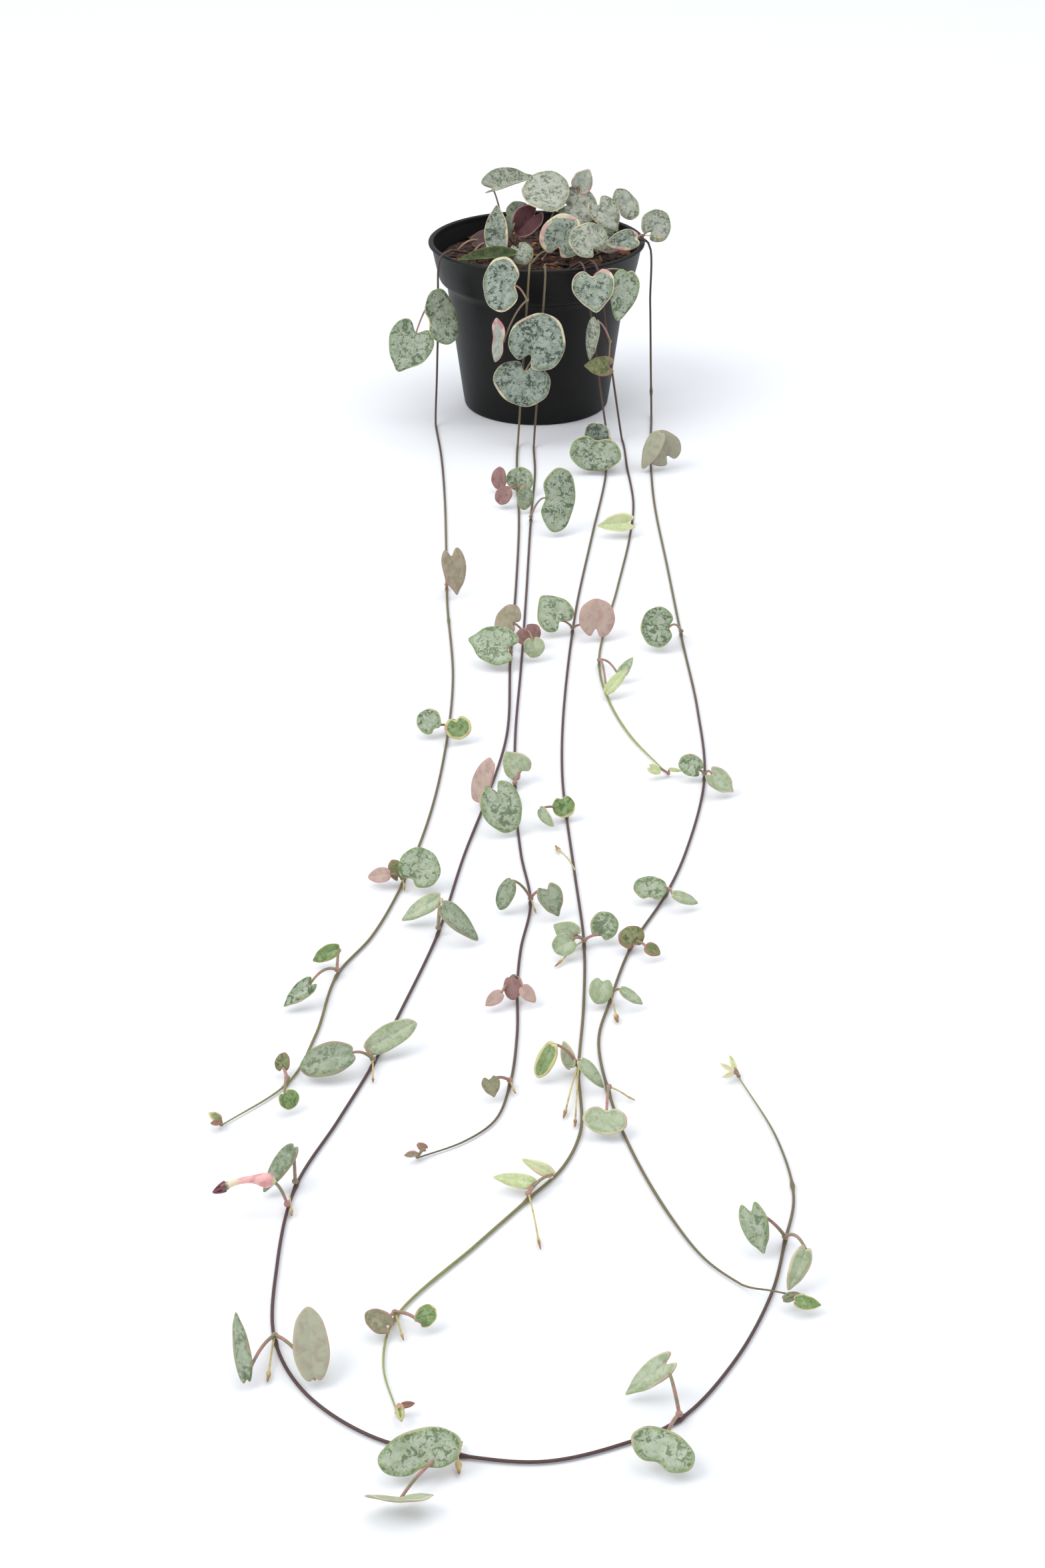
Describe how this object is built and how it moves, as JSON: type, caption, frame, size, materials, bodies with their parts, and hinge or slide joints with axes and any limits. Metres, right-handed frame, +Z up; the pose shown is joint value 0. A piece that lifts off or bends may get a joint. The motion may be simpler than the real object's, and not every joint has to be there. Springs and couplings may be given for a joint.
{
  "type": "potted string of hearts",
  "caption": "Trailing vine in a thin round nursery pot: slim stems hang over the rim and lie along the surface, with paired heart-shaped mottled leaves and a lantern flower.",
  "frame": {"origin": "centre of the underside of the pot, on the surface it stands on", "axes": "+Z up, -Y the way the stems trail along the surface, +X to the right seen from their tips"},
  "size_m": [0.1514, 0.7615, 0.1075],
  "materials": {
    "pot": "near-black satin moulded plastic",
    "soil": "dark brown peat and bark",
    "stem": "smooth purple-brown, olive towards the tips",
    "leaf": "silver-green with dark green mottling, cream and pink margins, satin",
    "flower": "pale pink tube with a maroon tip, satin"
  },
  "bodies": {
    "root": {"pot": "pot", "soil": "soil", "stem_left": "stem", "stem_long": "stem", "stem_centre": "stem", "stem_short": "stem", "stem_middle": "stem", "stem_right": "stem", "leaves_left_1": "leaf", "leaves_left_2": "leaf", "leaves_left_3": "leaf", "leaves_left_4": "leaf", "leaves_left_5": "leaf", "leaves_left_6": "leaf", "leaves_long_1": "leaf", "leaves_long_2": "leaf", "leaves_long_3": "leaf", "leaves_long_4": "leaf", "leaves_long_5": "leaf", "leaves_long_6": "leaf", "leaves_long_7": "leaf", "leaves_long_8": "leaf", "leaves_long_9": "leaf", "leaves_long_10": "leaf", "leaves_long_11": "leaf", "leaves_centre_1": "leaf", "leaves_centre_2": "leaf", "leaves_centre_3": "leaf", "leaves_centre_4": "leaf", "leaves_centre_5": "leaf", "leaves_centre_6": "leaf", "leaves_centre_7": "leaf", "leaves_short_1": "leaf", "leaves_short_2": "leaf", "leaves_short_3": "leaf", "leaves_short_4": "leaf", "leaves_middle_1": "leaf", "leaves_middle_2": "leaf", "leaves_middle_3": "leaf", "leaves_middle_4": "leaf", "leaves_middle_5": "leaf", "leaves_middle_6": "leaf", "leaves_middle_7": "leaf", "leaves_right_1": "leaf", "leaves_right_2": "leaf", "leaves_right_3": "leaf", "leaves_right_4": "leaf", "leaves_right_5": "leaf", "leaves_right_6": "leaf", "leaves_right_7": "leaf", "leaves_right_8": "leaf", "crown_leaves_1": "leaf", "crown_leaves_2": "leaf", "crown_leaves_3": "leaf", "crown_leaves_4": "leaf", "crown_leaves_5": "leaf", "crown_leaves_6": "leaf", "crown_leaves_7": "leaf", "crown_leaves_8": "leaf", "flower": "flower"}
  },
  "joints": []
}
